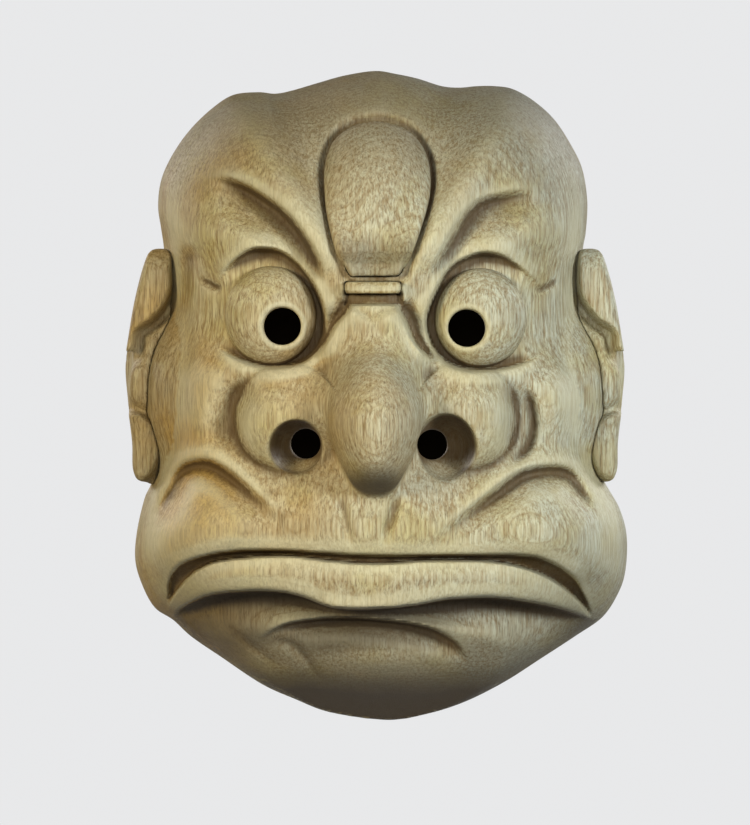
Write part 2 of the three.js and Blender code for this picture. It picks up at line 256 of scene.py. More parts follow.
# Nostrils: middle of the cup, its half sizes across, up and in, and the middle of the hole.
NOSTRILS = [
    ((-25.4, -17), (8.8, 9.2, 15), (-22.4, -15.7)),
    ((23.1, -17), (9.6, 11, 15), (18.5, -16)),
]
NOSTRIL_RADIUS = 4.9
CUP_DEPTH = 66.5
# The boss: depth of its seat, rise of its crown, the height below which its foot slopes back, with the
# slope, and the depth and half width of the groove round it.
BOSS_SEAT = 49.0
BOSS_CROWN = 9.5
BOSS_FOOT = (46.5, 0.85)
BOSS_GROOVE = (2.5, 1.6)
# The bar: middle, half sizes, depth of its seat and how far it stands out. The notch under it: height,
# half width and depth.
BAND = (-0.7, 34.6)
BAND_HALF = (9.0, 1.9)
BAND_SEAT = 57.0
BAND_PROUD = 3.4
BAND_NOTCH = (31.0, 1.9, 4.0)
# The ears: depth of the back and the plain front, rise of the panel and of the lobe.
EAR_BACK = 5.0
EAR_FRONT = 23
EAR_PANEL_RISE = 6
EAR_LOBE_RISE = 3.5
# The rim of an ear: x, z, half sizes and rise. The folds: how far out, half width and depth.
EAR_RIM = (75, 3, 5, 13, 3.5)
PANEL_FOLD = (2.2, 2.0, 3.5)
LOBE_FOLD = (1.6, 1.5, 2.0)
# The side view of an ear, a rounded box: middle and half size in depth, then in height.
EAR_SIDE_DEPTH = (17.5, 15.5)
EAR_SIDE_HEIGHT = (10, 39.5)
EAR_SIDE_ROUND = 2.6
# The scooped shell of an ear: middle and half sizes.
EAR_SHELL = (84.5, 12, 19)
EAR_SHELL_HALF = (5.0, 19, 7.5)
# The hole for the cord: z and depth.
CORD_HOLE = (-7.8, 14.0)
CORD_HOLE_RADIUS = 1.8
# The pads in the hollow: x, z and half sizes.
PADS = {
    "forehead_pad": (0, 66, 24, 8),
    "left_cheek_pad": (-43, -20, 9, 14),
    "right_cheek_pad": (43, -20, 9, 14),
}
PAD_THICKNESS = 7.5

# ---- painted shade and painted light on the wood ----
# Painted shade on the crown and jowls, where the light falls off: where it starts and where it is
# full, as a share of the way to the outline and as a height. Then how strong the painted shade is in
# each place: crown and jowls, left flank, brows, chin, nose and boss.
CROWN_SHADE_SHARE = (0.45, 0.95)
CROWN_SHADE_HEIGHT = (28, 95)
CROWN_AND_JOWL_SHADE = 0.68
LEFT_FLANK_SHADE = 0.32
BROW_PAINTED_SHADE = 0.4
CHIN_PAINTED_SHADOW = 1.1
NOSE_PAINTED_SHADOW = 1.2
BOSS_PAINTED_SHADE = 0.5
# Places on the chin where the painted shadow is lifted, painted light on its lit bulges: x, z, half
# sizes and how pale.
CHIN_LIT_PLACES = [
    (4, -87, 22, 5, 0.9), (40, -78, 19, 9, 0.95), (-29, -73, 13, 4.5, 0.6), (-33, -86, 13, 5, 0.55),
]
# Painted shadow in the tops of the nostril cups, and a painted highlight in a pale ring round a pupil:
# strength, offset and half width.
NOSTRIL_PAINTED_SHADOW = 2.4
PUPIL_HIGHLIGHT_RING = (2.2, 0.6, 1.1)

# ---- the lattice that everything is carved on: x, z and depth ----
# The field of a mound stays within this distance of zero.
FAR = 16.0
LOW = (-86.0, -110.0, -3.0)
HIGH = (86.0, 110.0, 99.0)
lines = [np.arange(low, high, PITCH, dtype=np.float32) for low, high in zip(LOW, HIGH)]
X, Z = np.meshgrid(lines[0], lines[1], indexing="ij")
DEPTH = lines[2]
rng = np.random.default_rng(11)


def window(low, high):
    """The part of the lattice between two corners (x, z, depth), as three slices."""
    ends = []
    for line, start, stop in zip(lines, low, high):
        first, last = np.searchsorted(line, [start, stop])
        ends.append(slice(int(first), int(last)))
    return tuple(ends)


WHOLE = window(LOW, HIGH)
NOSE_PART = window((-60, -60, 20), (60, 45, HIGH[2]))


# ---- drawing on the front view ----
def smooth(low, high, value):
    """0 at low and 1 at high, with a soft start and end. Low may be the greater of the two."""
    share = np.clip((value - low) / (high - low), 0, 1)
    return share * share * (3 - 2 * share)


def dying(share, start, end):
    """1 along a line, and falling to 0 over the given shares of it at its two ends."""
    return smooth(0, start, share) * smooth(0, end, 1 - share)


def spline(points, closed=False, steps=10):
    """A smooth curve through the points."""
    p = np.array(points, float)
    if closed:
        p = np.vstack([p[-1], p, p[0], p[1]])
    else:
        p = np.vstack([2 * p[0] - p[1], p, 2 * p[-1] - p[-2]])
    t = np.linspace(0, 1, steps, endpoint=False)[:, None]
    spans = []
    for a, b, c, d in zip(p, p[1:], p[2:], p[3:]):
        bend = 2 * a - 5 * b + 4 * c - d
        turn = 3 * b - a - 3 * c + d
        spans.append(0.5 * (2 * b + (c - a) * t + bend * t**2 + turn * t**3))
    spans.append(p[-2:-1])
    return np.vstack(spans)


def follow(points, reach, closed=False):
    """Distance to a line, positive on its left, and the share of the way along it."""
    curve = spline(points, closed)
    low, high = curve.min(0) - reach, curve.max(0) + reach
    near = (X > low[0]) & (X < high[0]) & (Z > low[1]) & (Z < high[1])
    x, z = X[near], Z[near]
    best = np.full(x.shape, 1e9)
    side = np.ones(x.shape)
    share = np.zeros(x.shape)
    lengths = np.hypot(*np.diff(curve, axis=0).T)
    way = np.concatenate([[0], np.cumsum(lengths)]) / lengths.sum()
    for i, length in enumerate(lengths):
        (ax, az), (bx, bz) = curve[i], curve[i + 1]
        if length < 1e-9:
            continue
        dx, dz = (bx - ax) / length, (bz - az) / length
        along = np.clip((x - ax) * dx + (z - az) * dz, 0, length)
        off = (x - ax - along * dx) ** 2 + (z - az - along * dz) ** 2
        closer = off < best
        best[closer] = off[closer]
        cross = dx * (z - az) - dz * (x - ax)
        side[closer] = np.where(cross[closer] >= 0, 1, -1)
        share[closer] = way[i] + (way[i + 1] - way[i]) * along[closer] / length
    distance = np.full(X.shape, 1e3, np.float32)
    shares = np.zeros(X.shape, np.float32)
    distance[near] = np.sqrt(best) * side
    shares[near] = share
    return distance, shares


def inside(points, reach):
    """Distance to a closed outline, positive inside, which is found by counting crossings."""
    distance = np.abs(follow(points, reach, closed=True)[0])
    curve = spline(points, True)
    within = np.zeros(X.shape, bool)
    for (ax, az), (bx, bz) in zip(curve[:-1], curve[1:]):
        if az != bz:
            right_of = X < ax + (Z - az) * (bx - ax) / (bz - az)
            within ^= ((az > Z) != (bz > Z)) & right_of
    return np.where(within, distance, -distance)


def oval(x, z, half_x, half_z, tilt=0):
    """Squared distance from an oval's middle, which is 1 on the oval."""
    turn = math.radians(tilt)
    across = (X - x) * math.cos(turn) + (Z - z) * math.sin(turn)
    along = (Z - z) * math.cos(turn) - (X - x) * math.sin(turn)
    return (across / half_x) ** 2 + (along / half_z) ** 2


def rim_share(points, middle, inset=0.0):
    """Distance from the middle as a share of the distance to the outline in that direction."""
    curve = spline(points, closed=True, steps=20) - np.array(middle)
    angle = np.arctan2(curve[:, 0], curve[:, 1])
    order = np.argsort(angle)
    radius = np.hypot(*curve.T)[order]
    there = np.arctan2(X - middle[0], Z - middle[1])
    edge = np.interp(there, angle[order], radius, period=2 * np.pi)
    return np.hypot(X - middle[0], Z - middle[1]) / (edge - inset)


def crowned(distance, width):
    """0 at an edge, rising steeply and then levelling out at 1, width mm inside it."""
    u = np.clip(distance / width, 0, 1)
    return np.sqrt(u * (2 - u))


def softened(values, radius):
    """A map averaged over squares of the lattice, three times over."""
    width = max(int(radius / PITCH), 1)
    for axis in (0, 1) * 3:
        pad = [(width + 1, width) if a == axis else (0, 0) for a in (0, 1)]
        sums = np.cumsum(np.pad(values, pad, mode="edge"), axis=axis)
        count = values.shape[axis]
        late = np.take(sums, np.arange(2 * width + 1, 2 * width + 1 + count), axis=axis)
        values = (late - np.take(sums, np.arange(count), axis=axis)) / (2 * width + 1)
    return values


def lowest_near(values, reach):
    """The least value of a map in a square of that half width round each place."""
    steps = int(reach / PITCH)
    for axis in (0, 1):
        least = values
        for step in range(1, steps + 1):
            for way in (step, -step):
                least = np.minimum(least, np.roll(values, way, axis=axis))
        values = least
    return values


# ---- fields in space ----
def join(a, b, softness):
    """Union of two fields with a soft inner corner."""
    blend = np.clip(0.5 + 0.5 * (b - a) / softness, 0, 1)
    return b * (1 - blend) + a * blend - softness * blend * (1 - blend)


def cut(body, tool, softness):
    """The body without the tool, with a slightly soft edge."""
    return -join(-body, tool, softness)


def mound(part, share, floor, height, powers):
    """A mound on a floor, full in the middle, where share is 0, and ending where share is 1."""
    base = np.clip(share, 0, 4) ** powers[0]
    base_x, base_z = np.gradient(base, PITCH)
    floor_x, floor_z = np.gradient(floor, PITCH)
    lift = np.maximum(DEPTH[part[2]] - floor[..., None], 0).astype(np.float32) / height
    slope = powers[1] / height * lift ** (powers[1] - 1)
    steep = slope**2 * (1 + floor_x**2 + floor_z**2)[..., None]
    steep -= 2 * slope * (floor_x * base_x + floor_z * base_z)[..., None]
    steep += (base_x**2 + base_z**2 + 1e-7)[..., None]
    value = base[..., None] + lift ** powers[1] - 1
    return np.clip(value / np.sqrt(steep), -FAR, FAR).astype(np.float32)


def ball(part, middle, half, pinch=0.0):
    """An ellipsoid with its middle and half sizes in x, z and depth, narrower below if pinched."""
    ix, iz, _ = part
    up = Z[ix, iz][..., None] - middle[1]
    across = (X[ix, iz][..., None] - middle[0]) * (1 + pinch * smooth(4, -half[1], up))
    offsets = (across, up, DEPTH[part[2]] - middle[2])
    near = np.sqrt(sum((o / h) ** 2 for o, h in zip(offsets, half)))
    steep = np.sqrt(sum((o / h**2) ** 2 for o, h in zip(offsets, half)))
    return near * (near - 1) / np.maximum(steep, 1e-4)


def tube(part, x, z, radius):
    """A round bar along the depth."""
    ix, iz, _ = part
    return (np.hypot(X[ix, iz] - x, Z[ix, iz] - z) - radius)[..., None]


def cord_hole(part):
    """The bore from side to side for the cord."""
    ix, iz, _ = part
    z, depth = CORD_HOLE
    return np.hypot(Z[ix, iz][..., None] - z, DEPTH[part[2]] - depth) - CORD_HOLE_RADIUS


# ---- the carving seen from the front ----
def add_edge(depth, line, rise, fade, dip, low, edge, ends):
    """Raises the left side of a line and lowers its right side, and both fade out."""
    reach = max(fade, low) + 3
    distance, share = follow(line, reach)
    up = smooth(-edge, edge, distance)
    raised = rise * up * (1 - smooth(0, fade, distance))
    lowered = dip * (1 - up) * (1 - smooth(0, low, -distance))
    step = raised - lowered
    return depth + np.where(np.abs(distance) < reach, dying(share, *ends) * step, 0)


def add_groove(depth, line, deep, half_width, ends):
    """A soft groove along a line."""
    distance, share = follow(line, 4 * half_width)
    return depth - deep * dying(share, *ends) * np.exp(-((distance / half_width) ** 2))


def add_wings(depth):
    """The two round wings of the nose."""
    for x, z, half_x, half_z, floor, height, (tight, loose, low, high), bridge in WINGS:
        q = oval(x, z, half_x, half_z)
        fall = 2.5 * (np.sqrt(q) - 1) * half_x
        wing = floor + np.where(q < 1, height * np.sqrt(np.clip(1 - q, 0, 1)), -fall)
        softness = tight + loose * smooth(low, high, Z - z) + 5 * smooth(0, 12, bridge * (X - x))
        depth = -join(-depth, -wing, softness)
    return depth


def add_mouth(depth):
    """The drawn upper lip, the slit under it and the lower lip pressed up against it."""
    depth = add_edge(depth, *UPPER_LIP_EDGE)
    roll = inside(LIP_TOP + LIP_FOOT[::-1], 20)
    gape = inside(UPPER_LIP + LIP_FOOT[::-1], 20)
    foot = np.abs(follow(LIP_FOOT, 25)[0])
    top = np.abs(follow(LIP_TOP, 25)[0])
    lip = depth - LIP_SET_BACK + LIP_RISE * crowned(foot + 0.8, 3)
    lip -= LIP_TUCK * (1 - smooth(0, 6, top))
    lip += LIP_PUSH * np.minimum(top, 16)
    depth = depth - MOUTH_SLIT * smooth(0, 1.2, gape)
    depth = depth + smooth(-0.8, 0.4, roll) * (lip - depth)
    return add_edge(depth, LIP_FOOT, 0, 4, *LIP_SHADE, 0.6, (0.04, 0.04))


def chin_slope():
    """The plane that falls back from the lip to the foot of the rim, and the chin on it."""
    top, top_depth = CHIN_TOP
    fall = (Z - OUTLINE_FOOT) / (top - OUTLINE_FOOT)
    return top_depth * fall + CHIN_RISE * np.exp(-oval(*CHIN))


def carved_depth(plain):
    """Depth of the face at each place, from the plain dome to the last crease."""
    depth = plain.copy()
    for x, z, half_x, half_z, rise, tilt in FORMS:
        depth += rise * np.exp(-oval(x, z, half_x, half_z, tilt))
    depth = add_wings(depth)
    for edge in EDGES:
        depth = add_edge(depth, *edge)
    for groove in GROOVES:
        depth = add_groove(depth, *groove)
    for socket in (LEFT_SOCKET, RIGHT_SOCKET):
        open_part = smooth(-0.6, 1.2, inside(socket, 25))
        depth += open_part * (np.minimum(depth, SOCKET_FLOOR) - depth)
    depth = add_mouth(depth)
    depth += under_lip * (join(depth, chin_slope(), 3.0) - depth)
    depth = add_edge(depth, *CHIN_EDGE)
    for groove in CHIN_GROOVES:
        depth = add_groove(depth, *groove)
    return depth


def under_brows():
    """1 on the curved planes under the brows, which widen towards the temples, where painted shade
    goes.
    """
    shade = np.zeros(X.shape)
    for line, outwards in ((LEFT_BROW, False), (RIGHT_BROW, True)):
        distance, share = follow(line, 14)
        width = 3 + 7 * (share if outwards else 1 - share)
        plane = smooth(0.8, -0.8, distance) * smooth(-width - 1, -width + 1, distance)
        shade = np.maximum(shade, plane * dying(share, 0.12, 0.12))
    return shade


def gouged(spacing_x, spacing_z, deep):
    """Shallow scallops left by a gouge, in staggered rows."""
    marks = np.full(X.shape, 9.0)
    rows = int((HIGH[1] - LOW[1]) / spacing_z) + 2
    columns = int((HIGH[0] - LOW[0]) / spacing_x) + 2
    for row in range(rows):
        for column in range(columns):
            x = LOW[0] + (column + 0.5 * (row % 2) + rng.uniform(-0.2, 0.2)) * spacing_x
            z = LOW[1] + (row + rng.uniform(-0.2, 0.2)) * spacing_z
            reach_x, reach_z = 2 * spacing_x, 2 * spacing_z
            part = window((x - reach_x, z - reach_z, 0), (x + reach_x, z + reach_z, 0))[:2]
            mark = ((X[part] - x) / spacing_x) ** 2 + ((Z[part] - z) / spacing_z) ** 2
            marks[part] = np.minimum(marks[part], mark)
    return deep * (0.3 - np.clip(marks, 0, 0.6))


# ---- from a field to a piece ----
def largest_body(points, quads):
    """The vertices and faces of the biggest connected surface, without loose crumbs."""
    label = np.arange(len(points))
    starts = quads.ravel()
    stops = np.roll(quads, 1, axis=1).ravel()
    while True:
        lowest = np.minimum(label[starts], label[stops])
        fresh = label.copy()
        np.minimum.at(fresh, starts, lowest)
        np.minimum.at(fresh, stops, lowest)
        fresh = fresh[fresh]
        if np.array_equal(fresh, label):
            break
        label = fresh
    kept = label == np.bincount(label).argmax()
    number = np.cumsum(kept) - 1
    return points[kept], number[quads[kept[quads[:, 0]]]]


def near_front(depth, i, j):
    """1 on the carved front, and 0 in the hollow, on the seats and down the holes."""
    return smooth(5, 2, np.abs(depth - front_depth[i, j]))


def creases_and_painted_light(x, z, depth, i, j):
    """How deep each vertex lies below what is round it, which darkens each crease with grime and
    painted shade, with painted shadow in the tops of the nostrils and a painted highlight in a pale
    ring round each pupil."""
    below = crease_depth[i, j] * near_front(depth, i, j) * smooth(0.99, 0.9, outline_share[i, j])
    # Painted shadow in the top of each nostril cup.
    for middle, half, _ in NOSTRILS:
        reach = ((x - middle[0]) / half[0]) ** 2 + ((z - middle[1]) / half[1]) ** 2
        shaded = smooth(-0.9, 0.1, (z - middle[1]) / half[1])
        below += NOSTRIL_PAINTED_SHADOW * shaded * smooth(1.05, 0.75, reach) * smooth(46, 50, depth)
    # A painted highlight in a pale ring round each pupil.
    lift, offset, half_width = PUPIL_HIGHLIGHT_RING
    for pupil_x, pupil_z in PUPILS:
        from_edge = np.hypot(x - pupil_x, z - pupil_z) - PUPIL_RADIUS - offset
        below -= lift * np.exp(-((from_edge / half_width) ** 2)) * smooth(50, 54, depth)
    return below


def chin_painted_shadow(x, z):
    """Painted shadow on the chin under the lip, darkest at its foot and lifted where light falls on
    its bulges.
    """
    tone = CHIN_PAINTED_SHADOW * (1 + 0.3 * smooth(-92, -102, z))
    # Painted light: the painted shadow is lifted where light falls on the chin's bulges.
    for spot_x, spot_z, half_x, half_z, lit_share in CHIN_LIT_PLACES:
        off = ((x - spot_x) / half_x) ** 2 + ((z - spot_z) / half_z) ** 2
        tone = tone * (1 - lit_share * np.exp(-off))
    return tone


def painted_shade(x, z, depth, i, j):
    """How much painted shade each vertex gets: crown and jowls, left flank, chin, boss, under the nose
    and under the brows.
    """
    share = outline_share[i, j]
    on_front = near_front(depth, i, j)
    tone = CROWN_AND_JOWL_SHADE * smooth(*CROWN_SHADE_SHARE, share) * smooth(*CROWN_SHADE_HEIGHT, np.abs(z))
    tone = np.maximum(tone, LEFT_FLANK_SHADE * smooth(0.8, 1.0, share) * smooth(20, -60, x))
    tone = np.maximum(tone, chin_painted_shadow(x, z) * under_lip[i, j] * on_front)
    on_boss = smooth(0, 2, boss_inside[i, j])
    tone = np.maximum(tone, BOSS_PAINTED_SHADE * on_boss * smooth(54, 46, z))
    under_nose = smooth(NOSE_CUT[0] + 7, NOSE_CUT[0] - 2, z) * smooth(-41, -36, z)
    tone = np.maximum(tone, NOSE_PAINTED_SHADOW * under_nose * smooth(68, 74, depth))
    return np.maximum(tone, BROW_PAINTED_SHADE * brow_shade[i, j] * on_front)


def mark_grime_and_painted_light(mesh):
    """Stores on each vertex how deep it lies in a crease, with its painted shadow and highlight, and
    its painted shade.
    """
    places = np.empty(3 * len(mesh.vertices), np.float32)
    mesh.vertices.foreach_get("co", places)
    x, y, z = places.reshape(-1, 3).T / MM
    i = np.clip(((x - LOW[0]) / PITCH).astype(int), 0, X.shape[0] - 1)
    j = np.clip(((z - LOW[1]) / PITCH).astype(int), 0, X.shape[1] - 1)
    for name, marks in (("crease", creases_and_painted_light), ("painted_shade", painted_shade)):
        values = marks(x, z, -y, i, j).astype(np.float32)
        mesh.attributes.new(name, "FLOAT", "POINT").data.foreach_set("value", values)


def surface_of(field, part):
    """The surface of a field over that part of the lattice: corners in metres, and quads."""
    edge = 3 * PITCH
    field = np.clip(np.pad(field, 1, constant_values=edge), -edge, edge)
    grid = openvdb.FloatGrid(edge)
    grid.copyFromArray(np.ascontiguousarray(field, np.float32))
    points, quads = grid.convertToQuads(isovalue=0.0)
    points, quads = largest_body(points, quads)
    start = [line[s.start] for line, s in zip(lines, part)]
    x, z, depth = ((points[:, i] - 1) * PITCH + start[i] for i in range(3))
    corners = np.column_stack([x, -depth, z]) * MM
    a, b, c = (corners[quads[:, i]] for i in range(3))
    if np.einsum("ij,ij->i", a, np.cross(b, c)).sum() < 0:
        quads = quads[:, ::-1]
    return corners, quads


def piece(name, field, part, node, material):
    """Meshes a field that covers that part of the lattice and puts the piece in the frame."""
    corners, quads = surface_of(field, part)
    mesh = bpy.data.meshes.new(name)
    mesh.from_pydata(corners.tolist(), [], quads.tolist(), shade_flat=False)
    obj = bpy.data.objects.new(name, mesh)
    bpy.context.scene.collection.objects.link(obj)
    if 2 * len(quads) > MOST_FACES:
        thinner = obj.modifiers.new("Thinner", "DECIMATE")
        thinner.ratio = MOST_FACES / (2 * len(quads))
        shown = obj.evaluated_get(bpy.context.evaluated_depsgraph_get())
        obj.data = bpy.data.meshes.new_from_object(shown)
        obj.modifiers.clear()
        obj.data.name = name
    obj.data.shade_smooth()
    obj.data.materials.append(material)
    mark_grime_and_painted_light(obj.data)
    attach(obj, "root")
    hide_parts(node)
    return obj


# ---- materials ----
def nodes_for(name):
    """A new material, its node tree and its shader."""
    material = bpy.data.materials.new(name)
    material.use_nodes = True
    tree = material.node_tree
    return material, tree, tree.nodes["Principled BSDF"]


def add(tree, kind, **values):
    """A node with the given input values."""
    node = tree.nodes.new(kind)
    for key, value in values.items():
        node.inputs[key].default_value = value
    return node


def maths(tree, operation, *values):
    """The result of a sum on numbers or sockets."""
    node = tree.nodes.new("ShaderNodeMath")
    node.operation = operation
    for socket, value in zip(node.inputs, values):
        if hasattr(value, "is_output"):
            tree.links.new(value, socket)
        else:
            socket.default_value = value
    return node.outputs[0]


def scaled(tree, value, factor, offset=0.0):
    """The value times the factor, plus the offset."""
    return maths(tree, "MULTIPLY_ADD", value, factor, offset)


def ramp(tree, factor, stops):
    """A ramp of greys, with stops of (position, grey)."""
    node = tree.nodes.new("ShaderNodeValToRGB")
    while len(node.color_ramp.elements) < len(stops):
        node.color_ramp.elements.new(0.5)
    for element, (position, grey) in zip(node.color_ramp.elements, stops):
        element.position = position
        element.color = (grey, grey, grey, 1)
    tree.links.new(factor, node.inputs["Fac"])
    return node.outputs["Color"]


def mixed(tree, factor, first, second):
    """The first colour at factor 0 and the second at 1."""
    node = tree.nodes.new("ShaderNodeMix")
    node.data_type = "RGBA"
    sockets = (node.inputs[0], node.inputs[6], node.inputs[7])
    for socket, value in zip(sockets, (factor, first, second)):
        if hasattr(value, "is_output"):
            tree.links.new(value, socket)
        else:
            socket.default_value = (*value, 1)
    return node.outputs[2]


def noise(tree, place, scale, detail=3.0, roughness=0.5, distortion=0.0, stretch=(1, 1, 1)):
    """Noise of the given scale per metre in object space, stretched along the axes."""
    mapping = add(tree, "ShaderNodeMapping", Scale=tuple(scale * s for s in stretch))
    tree.links.new(place, mapping.inputs["Vector"])
    node = add(tree, "ShaderNodeTexNoise", Scale=1.0, Detail=detail, Roughness=roughness,
               Distortion=distortion)
    tree.links.new(mapping.outputs["Vector"], node.inputs["Vector"])
    return node.outputs["Fac"]


def linear(red, green, blue):
    """A colour given in everyday screen values, 0 to 255."""
    share = [v / 255 for v in (red, green, blue)]
    return tuple(s / 12.92 if s < 0.04 else ((s + 0.055) / 1.055) ** 2.4 for s in share)


def object_place(tree):
    """Places in object space, as a vector and as three axes."""
    place = add(tree, "ShaderNodeTexCoord").outputs["Object"]
    axes = add(tree, "ShaderNodeSeparateXYZ")
    tree.links.new(place, axes.inputs[0])
    return place, axes.outputs


def stored(tree, name):
    """A value that is stored on each vertex."""
    node = tree.nodes.new("ShaderNodeAttribute")
    node.attribute_name = name
    return node.outputs["Fac"]


def add_bump(tree, relief, shader, strength, distance):
    """Fine relief, with its greatest height in metres."""
    bump = add(tree, "ShaderNodeBump", Strength=strength, Distance=distance)
    tree.links.new(relief, bump.inputs["Height"])
    tree.links.new(bump.outputs["Normal"], shader.inputs["Normal"])


PALE_WOOD = linear(208, 203, 170)
# Tan and cool wood: the painted tint of the warm left lamp and the cool right lamp.
WARM_LIT_WOOD = linear(184, 152, 86)
COOL_LIT_WOOD = linear(192, 196, 177)
GOLDEN_STAIN = linear(184, 167, 86)
RING_LINE = linear(132, 104, 56)
PORE = linear(92, 70, 38)
# Grime with painted shade for each crease, then the colour of the painted shade.
GRIME_AND_SHADE = linear(84, 62, 32)
PAINTED_SHADE_BROWN = linear(62, 52, 38)
PALE_COTTON = linear(222, 214, 196)
SOILED_COTTON = linear(190, 174, 142)
WEAVE_SHADE = linear(150, 136, 110)
# Growth rings: spacing in mm, bow over the width per metre, and two sizes of wander in metres.
RING_SPACING = 1.6
RING_BOW = 1.6
RING_WANDER = 0.016
RING_WAVER = 0.0022
# How fast the painted tint of the lamps turns from warm on the left to cooler on the right, per metre,
# and how cool it is in the middle.
LAMP_TINT_SLOPE = 6.0
LAMP_TINT_MIDDLE = 0.62
THREADS_PER_METRE = 1700


def growth_lines(tree, place, axes):
    """The dark lines of growth rings that lie across the depth, so that they close round a bulge."""
    across, depth, _ = axes
    wander = noise(tree, place, 22, detail=2.0, stretch=(1, 1, 0.45))
    waver = noise(tree, place, 90, detail=3.0, stretch=(1, 1, 0.35))
    squared = maths(tree, "POWER", maths(tree, "ABSOLUTE", across), 2)
    bow = scaled(tree, squared, RING_BOW)
    ring = maths(tree, "ADD", scaled(tree, depth, -1), bow)
    ring = scaled(tree, wander, RING_WANDER, ring)
    ring = scaled(tree, waver, RING_WAVER, ring)
    ring = scaled(tree, ring, 1000 / RING_SPACING)
    phase = maths(tree, "FRACT", ring)
    line = ramp(tree, phase, [(0.0, 0.1), (0.55, 0.0), (0.80, 0.35), (0.92, 1.0), (1.0, 0.1)])
    strength = ramp(tree, noise(tree, place, 60, detail=2.0), [(0.3, 0.15), (0.7, 0.95)])
    return scaled(tree, line, strength)


def clean_wood(tree, place, across, cloud):
    """Wood without its grain: tan on the left and cooler on the right, the painted tint of the warm
    left lamp and the cool right lamp, with pale and golden clouds.
    """
    # Painted tint of the lamps: warm on the left, cooler on the right.
    side = scaled(tree, across, LAMP_TINT_SLOPE, LAMP_TINT_MIDDLE)
    side = maths(tree, "ADD", side, scaled(tree, cloud, 1.2, -0.6))
    base = mixed(tree, ramp(tree, side, [(0.1, 0.0), (0.9, 1.0)]), WARM_LIT_WOOD, COOL_LIT_WOOD)
    base = mixed(tree, ramp(tree, cloud, [(0.38, 0.0), (0.72, 0.6)]), base, PALE_WOOD)
    stain = noise(tree, place, 34, detail=5.0, roughness=0.6)
    return mixed(tree, ramp(tree, stain, [(0.50, 0.0), (0.68, 0.5)]), base, GOLDEN_STAIN)


def aged_and_painted_shade(tree, base, cloud):
    """The wood with grime and painted shade in each crease, pale crests rubbed by use, a painted
    highlight round the pupils, and painted shade.
    """
    # Grime and painted shade where a vertex lies in a crease.
    below = scaled(tree, cloud, 0.8, stored(tree, "crease"))
    below = scaled(tree, below, 0.25, 0.5)
    base = mixed(tree, ramp(tree, below, [(0.62, 0.0), (0.98, 0.85)]), base, GRIME_AND_SHADE)
    base = mixed(tree, ramp(tree, below, [(0.30, 0.5), (0.54, 0.0)]), base, PALE_WOOD)
    # The painted shade of the crown, jowls, flank, chin, nose, brows and boss.
    patchy = scaled(tree, cloud, 0.4, 0.6)
    return mixed(tree, scaled(tree, stored(tree, "painted_shade"), patchy), base, PAINTED_SHADE_BROWN)


def wood_material(name):
    """Old unpainted timber with growth rings, fibres and pores that run up and down."""
    material, tree, shader = nodes_for(name)
    place, axes = object_place(tree)
    line = growth_lines(tree, place, axes)
    streaks = noise(tree, place, 2300, 3.0, 0.65, distortion=0.3, stretch=(1, 1, 0.075))
    pore = ramp(tree, streaks, [(0.50, 0.0), (0.70, 1.0)])
    fibre = noise(tree, place, 1100, 4.0, 0.65, distortion=0.4, stretch=(1, 1, 0.04))
    cloud = noise(tree, place, 28, detail=4.0, roughness=0.6)

    base = clean_wood(tree, place, axes["X"], cloud)
    base = mixed(tree, ramp(tree, fibre, [(0.34, 0.75), (0.60, 0.0)]), base, RING_LINE)
    base = mixed(tree, scaled(tree, line, 0.6), base, RING_LINE)
    base = mixed(tree, scaled(tree, pore, 0.62), base, PORE)
    tree.links.new(aged_and_painted_shade(tree, base, cloud), shader.inputs["Base Color"])

    rough = scaled(tree, cloud, 0.25, 0.52)
    tree.links.new(scaled(tree, pore, 0.15, rough), shader.inputs["Roughness"])
    shader.inputs["Specular IOR Level"].default_value = 0.35
    relief = scaled(tree, pore, -0.9, scaled(tree, fibre, 0.5))
    relief = scaled(tree, line, -0.35, relief)
    add_bump(tree, relief, shader, 0.55, 0.00022)
    return material


def cloth_material(name):
    """Undyed plain-woven cotton, soiled in patches."""
    material, tree, shader = nodes_for(name)
    place, axes = object_place(tree)
    across, _, height = axes
    warp = maths(tree, "SINE", scaled(tree, across, THREADS_PER_METRE * math.pi))
    weft = maths(tree, "SINE", scaled(tree, height, THREADS_PER_METRE * math.pi))
    weave = scaled(tree, scaled(tree, warp, weft), 0.5, 0.5)
    fluff = noise(tree, place, 900, detail=4.0)
    soil = noise(tree, place, 70, detail=4.0, roughness=0.6)
    soiled = ramp(tree, soil, [(0.35, 0.0), (0.7, 1.0)])
    base = mixed(tree, soiled, PALE_COTTON, SOILED_COTTON)
    base = mixed(tree, scaled(tree, weave, 0.25), base, WEAVE_SHADE)
    tree.links.new(base, shader.inputs["Base Color"])
    tree.links.new(scaled(tree, fluff, 0.1, 0.86), shader.inputs["Roughness"])
    add_bump(tree, scaled(tree, fluff, 0.6, weave), shader, 0.6, 0.00018)
    return material


# ---- camera, light and floor ----
# The camera: distance, height, and the width that it sees at the mask.
VIEW_DISTANCE = 2.6
VIEW_WIDTH = 0.2475
VIEW_HEIGHT = -0.0056
SENSOR = 36.0
# How many times as high as wide the picture is.
PORTRAIT = 1.1
ROOM_COLOUR = (0.985, 0.99, 1.0)
ROOM_SEEN = 0.82
ROOM_LIGHT = 0.055
FLOOR_HEIGHT = -0.25
FLOOR_RADIUS = 0.8
FLOOR_GREY = (0.72, 0.72, 0.72)
# The black card behind the holes, painted shade that shows through them: half sizes and depth, in mm.
CARD = (56.0, 84.0, 6.0)
CARD_BLACK = (0.004, 0.003, 0.002)
